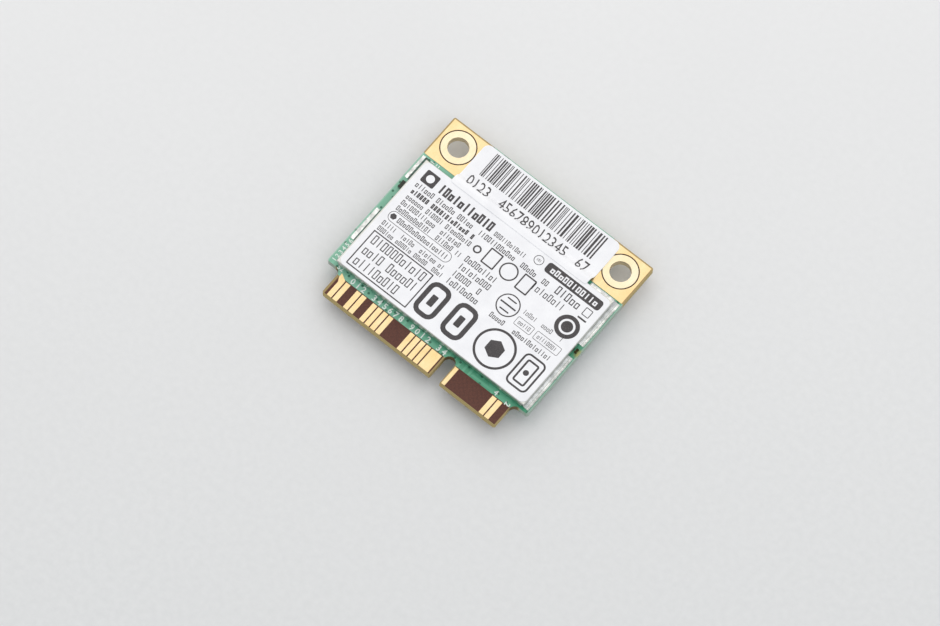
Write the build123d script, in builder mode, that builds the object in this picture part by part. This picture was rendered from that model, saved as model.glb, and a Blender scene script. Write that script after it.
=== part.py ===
from build123d import *
import os
from collections import namedtuple

# Half-length wireless card for a laptop: a board with edge contacts, a shield can on each face,
# two labels, two coaxial sockets and the chips inside. All lengths are in millimetres.
# X runs across the card, Y from the contact edge to the tabs, Z up through the labelled face.
# The origin is on the surface the card lies on, under the middle of its outline.

# Board outline
board_width = 29.70
card_length = 26.80
board_thickness = 1.00
board_corner = 0.25
shoulder_width = 2.05
tongue_corner = 0.20
shoulder_y = 3.50
shoulder_fillet = 0.80
notch_x = 3.96
notch_width = 1.50
notch_depth = 3.45
bevel_run = 0.12
bevel_depth = 0.25

# Edge contacts, with the even pins on the labelled face and the odd pins on the other
plating = 0.05
contact_pitch = 0.80
contact_width = 0.63
contact_start_y = 0.15
contact_end_y = 2.75
contact_stagger = 0.40
pin_52_margin = 0.94
pin_2_margin = 1.32
even_long_slots = (1, 3, 4, 6, 7, 8, 9, 13, 14, 15, 16)
even_short_slots = (0, 1)
wide_contact_margin = 0.37
guard_contact_width = 0.49
guard_contact_margin = 0.14
flare_width = 0.30
flare_length = 0.55

# Hold-down tabs
hole_side_distance = 2.75
hole_radius = 1.30
hole_edge_distance = 2.75
eyelet_fit = 0.01
eyelet_land = 0.79
ring_groove = 0.15
tab_pad_width = 5.60
tab_pad_length = 5.605
tab_pad_inset = 0.19

# Shield cans: a soldered fence and a snap-on lid on each face
sheet = 0.15
bend_radius = 0.12
lid_fit = 0.03
skirt_gap = 0.32
corner_slit = 0.32
fence_corner = 0.30
fence_rim = 0.70
bridge_width = 1.20
pickup_radius = 2.20
snap_length = 0.80
snap_height = 0.30
snap_reach = 0.10
snap_fit = 0.06
snap_height_share = 0.55
snap_across_shares = (-0.34, 0.0, 0.34)
snap_beside_shares = (-0.28, 0.28)
foot_gap_width = 0.90
foot_gap_height = 0.22
foot_gap_shares = (-0.17, 0.17)
label_shield_height = 1.15
label_shield_x = 0.15
label_shield_side_margin = 0.95
label_shield_front_gap = 0.24
label_shield_rear_gap = 0.845
hidden_shield_height = 1.60
hidden_shield_x = 0.00
hidden_shield_side_margin = 1.05
hidden_shield_front_gap = 0.50
hidden_shield_rear_gap = 0.805
vent_radius = 0.40
vent_columns = 7
vent_rows = 3
vent_pitch = 2.40

# Solder bands at the foot of the fences; each stretch is two shares of the can, from its front or left
left_seam_width = 1.05
right_seam_width = 0.78
rear_seam_width = 0.92
hidden_seam_width = 0.80
seam_height = 0.26
seam_edge = 0.06
seam_belly_out = 0.30
seam_belly_up = 0.38
left_seams = ((0.22, 0.515), (0.823, 1.034))
right_seams = ((0.010, 0.510), (0.625, 1.036))
hidden_seams = ((0.03, 0.30), (0.36, 0.64), (0.70, 0.97))
rear_seam_start_share = 0.869
rear_seam_end_share = 0.991

# Small repeated round cuts are many-sided, which shows no difference at their size
small_round_sides = 14

# Labels
label_thickness = 0.08
main_label_shift = 0.07
main_label_side_margin = 0.16
main_label_end_margin = 0.09
main_label_corner = 0.70
serial_label_x = 0.20
serial_label_hole_gap = 2.05
serial_label_lap = 0.36
serial_label_rear_margin = 0.12
serial_label_front_corner = 0.30
serial_label_rear_corner = 0.80
serial_label_brow = 0.10
serial_label_drop_run = 1.80

# Coaxial antenna sockets between the tabs, on the hidden face
socket_hole_distance = 6.90
socket_edge_distance = 3.30
socket_base = 2.60
socket_base_height = 0.35
socket_base_corner = 0.25
socket_ring_radius = 1.00
socket_ring_wall = 0.13
socket_height = 1.25
socket_groove_height = 0.86
socket_groove = 0.05
socket_foot_width = 0.70
socket_foot_length = 0.55
socket_foot_thickness = 0.10
socket_pin_radius = 0.22
socket_pin_height = 1.02
socket_pin_fit = 0.02
socket_lead_width = 0.50
socket_lead_length = 1.75

# Packaged chips
chip_edge = 0.05
chip_dot_radius = 0.22
chip_dot_depth = 0.05
chip_dot_inset = 0.60
crystal_lid_inset = 0.22
crystal_lid_step = 0.12

# Ceramic chip parts: their wrapped metal ends stand a little proud of the body
cap_proud = 0.03
cap_share = 0.25

# Packages: size across, size along and height
main_radio_size = (8.00, 8.00, 0.85)
voltage_regulator_size = (3.00, 3.00, 0.75)
configuration_memory_size = (3.00, 2.00, 0.60)
front_end_switch_size = (2.00, 2.00, 0.55)
power_amplifier_size = (3.00, 3.00, 0.90)
power_inductor_size = (2.50, 2.00, 1.00)
reference_crystal_size = (3.20, 2.50, 0.70)
short_range_radio_size = (5.00, 5.00, 0.60)
short_range_crystal_size = (2.50, 2.00, 0.55)
low_noise_amplifier_size = (2.00, 2.00, 0.55)
diplexer_size = (2.00, 1.25, 0.95)
capacitor_size = (1.00, 0.50, 0.50)
edge_capacitor_size = (1.00, 0.50, 0.35)
resistor_size = (0.60, 0.30, 0.26)
edge_capacitor_share = 0.76
edge_resistor_share = 0.57
left_edge_part_inset = 0.70
right_edge_part_inset = 0.49

# Sizes that follow from those above
tongue_width = board_width - 2 * shoulder_width
hole_spacing = board_width - 2 * hole_side_distance
label_shield_width = board_width - 2 * label_shield_side_margin
hidden_shield_width = board_width - 2 * hidden_shield_side_margin
serial_label_width = hole_spacing - 2 * serial_label_hole_gap
socket_x = hole_spacing / 2 - socket_hole_distance
hidden_face = hidden_shield_height
label_face = hidden_face + board_thickness
notch_left = notch_x - notch_width / 2
notch_right = notch_x + notch_width / 2
pin_52_x = pin_52_margin - tongue_width / 2
pin_2_x = tongue_width / 2 - pin_2_margin
contact_half = contact_width / 2
long_tongue_room = notch_left - wide_contact_margin - contact_half - pin_52_x
short_tongue_room = pin_2_x - contact_half - notch_right - guard_contact_margin
long_tongue_slots = int(long_tongue_room / contact_pitch) + 1
short_tongue_slots = int(short_tongue_room / contact_pitch) + 1
eyelet_radius = hole_radius + eyelet_land
ground_hole_radius = eyelet_radius + ring_groove
board_hole_radius = hole_radius + plating + eyelet_fit
tab_front_y = card_length - tab_pad_inset - tab_pad_length

os.makedirs("parts", exist_ok=True)


def along(distance):
    """Y of a point at this distance from the contact edge."""
    return distance - card_length / 2


def save(piece, name):
    """Label a finished piece and write it to its own file."""
    piece.label = name
    export_step(piece, f"parts/{name}.step")


hole_y = along(card_length - hole_edge_distance)
hole_places = [(-hole_spacing / 2, hole_y), (hole_spacing / 2, hole_y)]

# A shield stands on one face of the board, up or down, with its front and rear between tongue and tabs
Shield = namedtuple("Shield", "face up x y width length height")


def shield(face, up, x, width, front_gap, rear_gap, height):
    """The place and size of one can over its lid."""
    front = along(shoulder_y + front_gap)
    rear = along(tab_front_y - rear_gap)
    return Shield(face, up, x, (front + rear) / 2, width, rear - front, height)


label_shield = shield(
    label_face,
    1,
    label_shield_x,
    label_shield_width,
    label_shield_front_gap,
    label_shield_rear_gap,
    label_shield_height,
)
hidden_shield = shield(
    hidden_face,
    -1,
    hidden_shield_x,
    hidden_shield_width,
    hidden_shield_front_gap,
    hidden_shield_rear_gap,
    hidden_shield_height,
)

# Board, cut to its outline with the key notch between the tongues
with BuildPart() as circuit_board:
    with BuildSketch(Plane.XY.offset(hidden_face)) as outline:
        with Locations((0, along(shoulder_y))):
            Rectangle(board_width, card_length - shoulder_y, align=(Align.CENTER, Align.MIN))
        fillet(outline.vertices(), board_corner)
        with Locations((0, along(0))):
            Rectangle(tongue_width, shoulder_y + board_corner, align=(Align.CENTER, Align.MIN))
        waist = outline.vertices().filter_by_position(
            Axis.Y, along(shoulder_y) - contact_start_y, along(shoulder_y) + contact_start_y
        )
        fillet(waist.filter_by_position(Axis.X, -tongue_width / 2, tongue_width / 2), shoulder_fillet)
        with Locations((notch_x, along(0))):
            Rectangle(
                notch_width,
                notch_depth - notch_width / 2,
                align=(Align.CENTER, Align.MIN),
                mode=Mode.SUBTRACT,
            )
        with Locations((notch_x, along(notch_depth - notch_width / 2))):
            Circle(notch_width / 2, mode=Mode.SUBTRACT)
        with Locations(*hole_places):
            Circle(board_hole_radius, mode=Mode.SUBTRACT)
    extrude(amount=board_thickness)
    tongue_ends = circuit_board.edges().filter_by(Axis.Z).group_by(Axis.Y)[0]
    chamfer(tongue_ends.sort_by(Axis.X)[0], tongue_corner)
    chamfer(circuit_board.edges().filter_by(Axis.Z).group_by(Axis.Y)[0].sort_by(Axis.X)[-1], tongue_corner)
    contact_edges = circuit_board.edges().filter_by(Axis.X).group_by(Axis.Y)[0]
    chamfer(contact_edges, bevel_depth, bevel_run)
save(circuit_board.part, "circuit_board")


def contact(left, right):
    """One flat contact between two places across the card, drawn in the open sketch."""
    with Locations(((left + right) / 2, along(contact_start_y))):
        Rectangle(right - left, contact_end_y - contact_start_y, align=(Align.CENTER, Align.MIN))


# Even contacts on the labelled face: the last one flares, the one beside the notch is wide
with BuildPart() as even_pin_contacts:
    with BuildSketch(Plane.XY.offset(label_face)):
        for slot in even_long_slots:
            if slot < long_tongue_slots - 1:
                centre = pin_52_x + slot * contact_pitch
                contact(centre - contact_half, centre + contact_half)
        for slot in even_short_slots:
            centre = pin_2_x - slot * contact_pitch
            contact(centre - contact_half, centre + contact_half)
        wide_left = pin_52_x + (long_tongue_slots - 1) * contact_pitch - contact_half
        contact(wide_left, notch_left - wide_contact_margin)
        guard_left = notch_right + guard_contact_margin
        contact(guard_left, guard_left + guard_contact_width)
        with BuildLine():
            Polyline(
                (pin_52_x - contact_half, along(contact_start_y)),
                (pin_52_x + contact_half, along(contact_start_y)),
                (pin_52_x + contact_half, along(contact_end_y)),
                (pin_52_x - contact_half - flare_width, along(contact_end_y + flare_length)),
                (pin_52_x - contact_half - flare_width, along(contact_end_y)),
                (pin_52_x - contact_half, along(contact_end_y - flare_length)),
                close=True,
            )
        make_face()
    extrude(amount=plating)
save(even_pin_contacts.part, "even_pin_contacts")

# Odd contacts on the hidden face, half a pitch over, with every place filled
with BuildPart() as odd_pin_contacts:
    with BuildSketch(Plane.XY.offset(hidden_face)):
        for slot in range(long_tongue_slots):
            centre = pin_52_x + contact_stagger + slot * contact_pitch
            contact(centre - contact_half, centre + contact_half)
        for slot in range(short_tongue_slots):
            centre = pin_2_x + contact_stagger - slot * contact_pitch
            contact(centre - contact_half, centre + contact_half)
    extrude(amount=-plating)
save(odd_pin_contacts.part, "odd_pin_contacts")


def hold_down_eyelet(place):
    """Plated barrel of a hold-down hole with its round land on both faces, one skin of metal."""
    with BuildPart() as eyelet:
        with BuildSketch(Plane.XY.offset(hidden_face - plating)):
            with Locations(place):
                Circle(hole_radius + plating)
        extrude(amount=board_thickness + 2 * plating)
        with BuildSketch(Plane.XY.offset(hidden_face)):
            with Locations(place):
                Circle(eyelet_radius)
        extrude(amount=-plating)
        with BuildSketch(Plane.XY.offset(label_face)):
            with Locations(place):
                Circle(eyelet_radius)
        extrude(amount=plating)
        with BuildSketch(Plane.XY.offset(hidden_face - plating)):
            with Locations(place):
                Circle(hole_radius)
        extrude(amount=board_thickness + 2 * plating, mode=Mode.SUBTRACT)
    return eyelet.part


save(hold_down_eyelet(hole_places[0]), "left_hold_down_eyelet")
save(hold_down_eyelet(hole_places[1]), "right_hold_down_eyelet")


def ground_pads(side):
    """Square ground pads of one tab on both faces, parted from the eyelet by a bare ring."""
    outer_x = board_width / 2 - tab_pad_inset
    centre_x = side * (outer_x - tab_pad_width / 2)
    centre_y = along(card_length - tab_pad_inset - tab_pad_length / 2)
    with BuildPart() as pads:
        for face, rise in ((label_face, plating), (hidden_face, -plating)):
            with BuildSketch(Plane.XY.offset(face)):
                with Locations((centre_x, centre_y)):
                    Rectangle(tab_pad_width, tab_pad_length)
                with Locations((side * hole_spacing / 2, hole_y)):
                    Circle(ground_hole_radius, mode=Mode.SUBTRACT)
            extrude(amount=rise)
    return pads.part


save(ground_pads(-1), "left_ground_pads")
save(ground_pads(1), "right_ground_pads")


def snap_planes(can, width, length, level):
    """Planes of the snaps, spread along four walls this far apart: Z points inwards, X along the wall."""
    planes = []
    for wall in (-1, 1):
        for share in snap_across_shares:
            origin = (can.x + share * width, can.y + wall * length / 2, level)
            planes.append(Plane(origin, x_dir=(1, 0, 0), z_dir=(0, -wall, 0)))
        for share in snap_beside_shares:
            origin = (can.x + wall * width / 2, can.y + share * length, level)
            planes.append(Plane(origin, x_dir=(0, 1, 0), z_dir=(-wall, 0, 0)))
    return planes


def shield_fence(can):
    """Soldered fence: thin walls with feet, an inward rim and a bridge with a pick-up disc."""
    width = can.width - 2 * (sheet + lid_fit)
    length = can.length - 2 * (sheet + lid_fit)
    height = can.height - sheet
    snap_level = can.face + can.up * height * snap_height_share
    inner_corner = fence_corner - sheet
    with BuildPart() as fence:
        with BuildSketch(Plane.XY.offset(can.face)):
            with Locations((can.x, can.y)):
                RectangleRounded(width, length, fence_corner)
                RectangleRounded(width - 2 * sheet, length - 2 * sheet, inner_corner, mode=Mode.SUBTRACT)
        extrude(amount=can.up * height)
        with BuildSketch(Plane.XY.offset(can.face + can.up * height)):
            with Locations((can.x, can.y)):
                RectangleRounded(width, length, fence_corner)
                Rectangle(width - 2 * fence_rim, length - 2 * fence_rim, mode=Mode.SUBTRACT)
                Rectangle(bridge_width, length - 2 * sheet)
                Circle(pickup_radius)
        extrude(amount=-can.up * sheet)
        for place in snap_planes(can, width, length, snap_level):
            with Locations(Location(place)):
                Box(
                    snap_length + 2 * snap_fit,
                    snap_height + 2 * snap_fit,
                    2 * sheet + snap_fit,
                    mode=Mode.SUBTRACT,
                )
        gaps = [(share * width, wall * length / 2) for share in foot_gap_shares for wall in (-1, 1)]
        gaps += [(wall * width / 2, 0) for wall in (-1, 1)]
        with Locations(*[(can.x + x, can.y + y, can.face) for x, y in gaps]):
            Box(foot_gap_width, foot_gap_width, 2 * foot_gap_height, mode=Mode.SUBTRACT)
    return fence.part


def shield_lid(can, vents):
    """Folded sheet lid: a flat top, four skirts parted by corner slits, and inward snaps."""
    top = can.face + can.up * can.height
    skirt_depth = can.height - skirt_gap
    snap_level = can.face + can.up * (can.height - sheet) * snap_height_share
    with BuildPart() as lid:
        with BuildSketch(Plane.XY.offset(top)):
            with Locations((can.x, can.y)):
                Rectangle(can.width, can.length)
        extrude(amount=-can.up * skirt_depth)
        fillet(lid.faces().sort_by(Axis.Z)[-1 if can.up > 0 else 0].edges(), bend_radius)
        with BuildSketch(Plane.XY.offset(top - can.up * sheet)):
            with Locations((can.x, can.y)):
                Rectangle(can.width - 2 * sheet, can.length - 2 * sheet)
                with GridLocations(can.width, can.length, 2, 2):
                    Rectangle(2 * corner_slit, 2 * corner_slit)
        extrude(amount=-can.up * skirt_depth, mode=Mode.SUBTRACT)
        for outer in snap_planes(can, can.width, can.length, snap_level):
            with Locations(Location(outer.offset(sheet))):
                Box(snap_length, snap_height, snap_reach, align=(Align.CENTER, Align.CENTER, Align.MIN))
            with Locations(Location(outer)):
                Box(
                    snap_length - 2 * snap_fit,
                    snap_height - 2 * snap_fit,
                    snap_reach,
                    align=(Align.CENTER, Align.CENTER, Align.MIN),
                    mode=Mode.SUBTRACT,
                )
        if vents:
            with BuildSketch(Plane.XY.offset(top)):
                with Locations((can.x, can.y)):
                    with GridLocations(vent_pitch, vent_pitch, vent_columns, vent_rows):
                        RegularPolygon(vent_radius, small_round_sides)
            extrude(amount=-can.up * sheet, mode=Mode.SUBTRACT)
    return lid.part


save(shield_fence(label_shield), "label_side_shield_fence")
save(shield_lid(label_shield, vents=False), "label_side_shield_lid")
save(shield_fence(hidden_shield), "hidden_side_shield_fence")
save(shield_lid(hidden_shield, vents=True), "hidden_side_shield_lid")


def solder_seam(section, face, up, foot, reach, run):
    """Hollow-faced solder band against a wall: its section starts at the wall's foot and reaches out."""
    edge = foot + reach
    belly = (foot + reach * seam_belly_out, face + up * seam_height * seam_belly_up)
    with BuildPart() as seam:
        with BuildSketch(section):
            with BuildLine():
                Line((foot, face + up * seam_height), (foot, face))
                Line((foot, face), (edge, face))
                Line((edge, face), (edge, face + up * seam_edge))
                ThreePointArc((edge, face + up * seam_edge), belly, (foot, face + up * seam_height))
            make_face()
        extrude(amount=run)
    return seam.part


def side_seams(can, seams):
    """Solder bands along the left and right walls of a fence, one solid for each stretch."""
    half = can.width / 2 - sheet - lid_fit
    front = can.y - can.length / 2
    made = []
    for out, width, stretches in seams:
        for start, end in stretches:
            section = Plane.XZ.offset(-front - end * can.length)
            run = (end - start) * can.length
            made.append(solder_seam(section, can.face, can.up, can.x + out * half, out * width, run))
    with BuildPart() as solder:
        add(made)
    return solder.part


label_seams = ((-1, left_seam_width, left_seams), (1, right_seam_width, right_seams))
save(side_seams(label_shield, label_seams), "label_side_solder_seams")
below_seams = ((-1, hidden_seam_width, hidden_seams), (1, hidden_seam_width, hidden_seams))
save(side_seams(hidden_shield, below_seams), "hidden_side_solder_seams")
rear_wall_y = label_shield.y + label_shield.length / 2 - sheet - lid_fit
rear_seam_start_x = label_shield.x + (rear_seam_start_share - 0.5) * label_shield.width
rear_seam_run = (rear_seam_end_share - rear_seam_start_share) * label_shield.width
rear_section = Plane.YZ.offset(rear_seam_start_x)
rear_seam = solder_seam(rear_section, label_face, 1, rear_wall_y, rear_seam_width, rear_seam_run)
save(rear_seam, "rear_solder_seam")

# Main label, flat on the lid
label_bed = label_face + label_shield_height
with BuildPart() as main_label:
    with BuildSketch(Plane.XY.offset(label_bed)):
        with Locations((label_shield.x + main_label_shift, label_shield.y)):
            RectangleRounded(
                label_shield.width - 2 * main_label_side_margin,
                label_shield.length - 2 * main_label_end_margin,
                main_label_corner,
            )
    extrude(amount=label_thickness)
save(main_label.part, "main_label")

# Serial label: on the main label, then over the can's rear edge and down onto the tabs' pads
serial_top = label_bed + label_thickness
serial_bed = label_face + plating
can_rear_y = label_shield.y + label_shield.length / 2
serial_front_y = can_rear_y - serial_label_lap
brow_y = can_rear_y + serial_label_brow
landing_y = brow_y + serial_label_drop_run
serial_rear_y = along(card_length - serial_label_rear_margin)
drop = serial_top - serial_bed
middle = (brow_y + serial_label_drop_run / 2, serial_bed + drop / 2)
with BuildPart() as serial_label:
    with BuildSketch(Plane.YZ.offset(serial_label_x - serial_label_width / 2)):
        with BuildLine() as band:
            Line((serial_front_y, serial_top), (brow_y, serial_top))
            TangentArc((brow_y, serial_top), middle, tangent=(1, 0))
            TangentArc((landing_y, serial_bed), middle, tangent=(-1, 0))
            Line((landing_y, serial_bed), (serial_rear_y, serial_bed))
            offset(band.edges(), amount=label_thickness, side=Side.LEFT)
        make_face()
    extrude(amount=serial_label_width)
    corners = serial_label.edges().filter_by(Axis.Z).group_by(Axis.Y)
    fillet(corners[0], serial_label_front_corner)
    fillet(serial_label.edges().filter_by(Axis.Z).group_by(Axis.Y)[-1], serial_label_rear_corner)
save(serial_label.part, "serial_label")

# Coaxial sockets: a moulded base, a ring contact with two feet and a centre pin with its lead
socket_y = along(card_length - socket_edge_distance)


def socket_insulator(x):
    """Moulded square base round the centre pin, cut away under the pin's lead."""
    with BuildPart() as insulator:
        with BuildSketch(Plane.XY.offset(hidden_face)):
            with Locations((x, socket_y)):
                Rectangle(socket_base, socket_base)
                Circle(socket_pin_radius + socket_pin_fit, mode=Mode.SUBTRACT)
        extrude(amount=-socket_base_height)
        chamfer(insulator.edges().filter_by(Axis.Z).filter_by(GeomType.LINE), socket_base_corner)
        with BuildSketch(Plane.XY.offset(hidden_face)):
            with Locations((x, socket_y)):
                Rectangle(
                    socket_lead_width + 2 * socket_pin_fit,
                    socket_lead_length + socket_pin_fit,
                    align=(Align.CENTER, Align.MAX),
                )
        extrude(amount=-socket_foot_thickness - socket_pin_fit, mode=Mode.SUBTRACT)
    return insulator.part


def socket_ring(x):
    """Ring contact with a snap groove, on a collar whose two feet fold down to the board."""
    inner = socket_ring_radius - socket_ring_wall
    collar_top = socket_base_height + socket_foot_thickness
    with BuildPart() as ring:
        with BuildSketch(Plane.XZ.offset(-socket_y)):
            with BuildLine():
                Polyline(
                    (x + inner, hidden_face - socket_base_height),
                    (x + socket_ring_radius, hidden_face - socket_base_height),
                    (x + socket_ring_radius, hidden_face - socket_groove_height + socket_groove),
                    (x + socket_ring_radius - socket_groove, hidden_face - socket_groove_height),
                    (x + socket_ring_radius, hidden_face - socket_groove_height - socket_groove),
                    (x + socket_ring_radius, hidden_face - socket_height),
                    (x + inner, hidden_face - socket_height),
                    close=True,
                )
            make_face()
        revolve(axis=Axis((x, socket_y, hidden_face), (0, 0, 1)))
        with BuildSketch(Plane.XY.offset(hidden_face - socket_base_height)):
            with Locations((x, socket_y)):
                Rectangle(socket_base + 2 * socket_foot_thickness, socket_foot_width)
                Circle(inner, mode=Mode.SUBTRACT)
        extrude(amount=-socket_foot_thickness)
        for side in (-1, 1):
            leg_x = x + side * (socket_base + socket_foot_thickness) / 2
            foot_x = x + side * (socket_base + socket_foot_length) / 2
            with BuildSketch(Plane.XY.offset(hidden_face)):
                with Locations((leg_x, socket_y)):
                    Rectangle(socket_foot_thickness, socket_foot_width)
            extrude(amount=-collar_top)
            with BuildSketch(Plane.XY.offset(hidden_face)):
                with Locations((foot_x, socket_y)):
                    Rectangle(socket_foot_length, socket_foot_width)
            extrude(amount=-socket_foot_thickness)
    return ring.part


def socket_pin(x):
    """Centre pin with a bevelled tip, and the flat lead that runs out under the base."""
    with BuildPart() as pin:
        with BuildSketch(Plane.XY.offset(hidden_face)):
            with Locations((x, socket_y)):
                Circle(socket_pin_radius)
        extrude(amount=-socket_pin_height)
        tip = pin.faces().sort_by(Axis.Z)[0].edges()
        chamfer(tip, socket_pin_radius / 2)
        with BuildSketch(Plane.XY.offset(hidden_face)):
            with Locations((x, socket_y)):
                Rectangle(socket_lead_width, socket_lead_length, align=(Align.CENTER, Align.MAX))
        extrude(amount=-socket_foot_thickness)
    return pin.part


for name, x in (("main", socket_x), ("auxiliary", -socket_x)):
    save(socket_insulator(x), f"{name}_antenna_insulator")
    save(socket_ring(x), f"{name}_antenna_ring")
    save(socket_pin(x), f"{name}_antenna_pin")


def inside(can, places):
    """Places as shares of the room inside a fence, from its middle to its walls."""
    half_x = can.width / 2 - 2 * sheet - lid_fit
    half_y = can.length / 2 - 2 * sheet - lid_fit
    return [(can.x + across * half_x, can.y + forth * half_y) for across, forth in places]


def packaged_chips(can, size, places):
    """Moulded packages flat on the board, each with a bevelled top edge and a corner dot."""
    width, length, height = size
    with BuildPart() as chips:
        with BuildSketch(Plane.XY.offset(can.face)):
            with Locations(*inside(can, places)):
                Rectangle(width, length)
        extrude(amount=can.up * height)
        tops = chips.faces().filter_by(Axis.Z).group_by(Axis.Z)[-1 if can.up > 0 else 0]
        chamfer(tops.edges(), chip_edge)
        with BuildSketch(Plane.XY.offset(can.face + can.up * height)):
            with Locations(*inside(can, places)):
                with Locations((chip_dot_inset - width / 2, length / 2 - chip_dot_inset)):
                    RegularPolygon(chip_dot_radius, small_round_sides)
        extrude(amount=-can.up * chip_dot_depth, mode=Mode.SUBTRACT)
    return chips.part


def lidded_crystal(can, size, place):
    """Ceramic crystal package with its welded metal lid as a smaller step on top."""
    width, length, height = size
    base_height = height - crystal_lid_step
    with BuildPart() as crystal:
        with BuildSketch(Plane.XY.offset(can.face)):
            with Locations(*inside(can, [place])):
                Rectangle(width, length)
        extrude(amount=can.up * base_height)
        with BuildSketch(Plane.XY.offset(can.face + can.up * base_height)):
            with Locations(*inside(can, [place])):
                RectangleRounded(
                    width - 2 * crystal_lid_inset,
                    length - 2 * crystal_lid_inset,
                    crystal_lid_inset,
                )
        extrude(amount=can.up * crystal_lid_step)
    return crystal.part


def chip_parts(face, up, size, across_places, along_places):
    """Ceramic chip parts with wrapped metal ends, lying across the card or along it."""
    long_side, short_side, height = size
    body_height = height - 2 * cap_proud
    with BuildPart() as parts:
        for angle, places in ((0, across_places), (90, along_places)):
            turned = [Location((x, y, 0), angle) for x, y in places]
            if turned:
                with BuildSketch(Plane.XY.offset(face + up * cap_proud)):
                    with Locations(*turned):
                        Rectangle(long_side, short_side - 2 * cap_proud)
                extrude(amount=up * body_height)
                with BuildSketch(Plane.XY.offset(face)):
                    with Locations(*turned):
                        with GridLocations(long_side * (1 - cap_share), 0, 2, 1):
                            Rectangle(long_side * cap_share, short_side)
                extrude(amount=up * height)
    return parts.part


def grid(across, forth):
    """Every pairing of the shares across and along."""
    return [(a, f) for a in across for f in forth]


# Chips inside the hidden can, placed by shares of the room inside its fence
save(packaged_chips(hidden_shield, main_radio_size, [(-0.10, 0.0)]), "main_radio_chip")
save(packaged_chips(hidden_shield, voltage_regulator_size, [(0.80, -0.60)]), "voltage_regulator")
save(packaged_chips(hidden_shield, configuration_memory_size, [(-0.80, -0.02)]), "configuration_memory")
switch_places = [(-0.56, 0.66), (0.50, 0.66)]
save(packaged_chips(hidden_shield, front_end_switch_size, switch_places), "front_end_switches")
amplifier_places = [(-0.82, 0.60), (0.82, 0.60)]
save(packaged_chips(hidden_shield, power_amplifier_size, amplifier_places), "power_amplifiers")
inductor_places = [(0.80, 0.02), (0.50, -0.64)]
save(packaged_chips(hidden_shield, power_inductor_size, inductor_places), "power_inductors")
save(lidded_crystal(hidden_shield, reference_crystal_size, (-0.78, -0.58)), "reference_crystal")
diplexer_places = inside(hidden_shield, [(-0.13, 0.86), (0.18, 0.86)])
save(chip_parts(hidden_face, -1, diplexer_size, diplexer_places, []), "antenna_diplexers")
across_places = inside(hidden_shield, grid((-0.34, -0.21, -0.08, 0.05, 0.18), (-0.88,)))
across_places += inside(hidden_shield, grid((-0.40, -0.29, 0.33), (0.86,)))
along_places = inside(hidden_shield, grid((0.31, 0.40, 0.49), (-0.32, -0.09, 0.14)))
save(chip_parts(hidden_face, -1, capacitor_size, across_places, along_places), "hidden_side_capacitors")
along_places = inside(hidden_shield, grid((-0.56, -0.51), (-0.47, -0.31, -0.16, 0.33)))
save(chip_parts(hidden_face, -1, resistor_size, [], along_places), "hidden_side_resistors")

# Chips inside the labelled can
save(packaged_chips(label_shield, short_range_radio_size, [(0.47, -0.35)]), "short_range_radio_chip")
save(lidded_crystal(label_shield, short_range_crystal_size, (0.80, 0.22)), "short_range_crystal")
low_noise_places = [(-0.72, 0.56), (0.69, 0.60)]
save(packaged_chips(label_shield, low_noise_amplifier_size, low_noise_places), "low_noise_amplifiers")
across_places = inside(label_shield, grid((-0.38, -0.26, -0.14), (-0.48, -0.30, -0.12, 0.06)))
across_places += inside(label_shield, grid((-0.79, -0.67, -0.55, 0.79), (-0.76,)))
save(chip_parts(label_face, 1, capacitor_size, across_places, []), "label_side_capacitors")
across_places = inside(label_shield, grid((-0.44, -0.35, 0.30, 0.39), (0.58,)))
along_places = inside(label_shield, grid((0.12, 0.18), (-0.58, -0.43, -0.27, -0.12)))
save(chip_parts(label_face, 1, resistor_size, across_places, along_places), "label_side_resistors")

# Small parts in the gaps between the seams, beside the labelled can
front_y = label_shield.y - label_shield.length / 2
left_x = left_edge_part_inset - board_width / 2
right_x = board_width / 2 - right_edge_part_inset
capacitor_place = (left_x, front_y + edge_capacitor_share * label_shield.length)
resistor_place = (right_x, front_y + edge_resistor_share * label_shield.length)
save(chip_parts(label_face, 1, edge_capacitor_size, [], [capacitor_place]), "left_edge_capacitor")
save(chip_parts(label_face, 1, resistor_size, [], [resistor_place]), "right_edge_resistor")
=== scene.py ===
import math
import random

import bmesh
import bpy
from mathutils import Matrix, Vector


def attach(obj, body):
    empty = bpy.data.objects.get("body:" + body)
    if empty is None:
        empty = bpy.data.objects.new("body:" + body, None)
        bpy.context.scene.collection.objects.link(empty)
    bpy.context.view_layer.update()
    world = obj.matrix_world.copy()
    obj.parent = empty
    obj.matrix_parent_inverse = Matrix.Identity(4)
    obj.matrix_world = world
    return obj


# Half-length wireless card, dressed for the render: finishes on the CAD nodes, print on the two
# labels and numbers on the board. Every length given to the helpers below is in millimetres, and
# they hand metres on to Blender.
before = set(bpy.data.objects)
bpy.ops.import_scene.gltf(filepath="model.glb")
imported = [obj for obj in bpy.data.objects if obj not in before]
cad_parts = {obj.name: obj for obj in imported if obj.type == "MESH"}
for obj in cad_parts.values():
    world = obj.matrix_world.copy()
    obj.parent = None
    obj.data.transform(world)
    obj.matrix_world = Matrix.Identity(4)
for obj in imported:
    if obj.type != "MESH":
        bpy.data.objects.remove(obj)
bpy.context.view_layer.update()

MM = 0.001

# Sizes of the card that the finishes and the print keep to, in millimetres
card_length_mm = 26.80
board_bottom_mm = 1.60
board_top_mm = 2.60
plating_mm = 0.05
hole_x_mm = 12.10
hole_from_contacts_mm = 24.05
notch_x_mm = 3.96
lid_top_mm = 3.75
label_thickness_mm = 0.08
main_label_top_mm = lid_top_mm + label_thickness_mm

# The serial label's drop starts at this distance from the contact edge, and takes this run
drop_start_mm = 20.26
drop_run_mm = 1.80

# Thickness of a layer of ink, and its lift off the face that carries it
ink_mm = 0.004
ink_lift_mm = 0.0005

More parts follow.
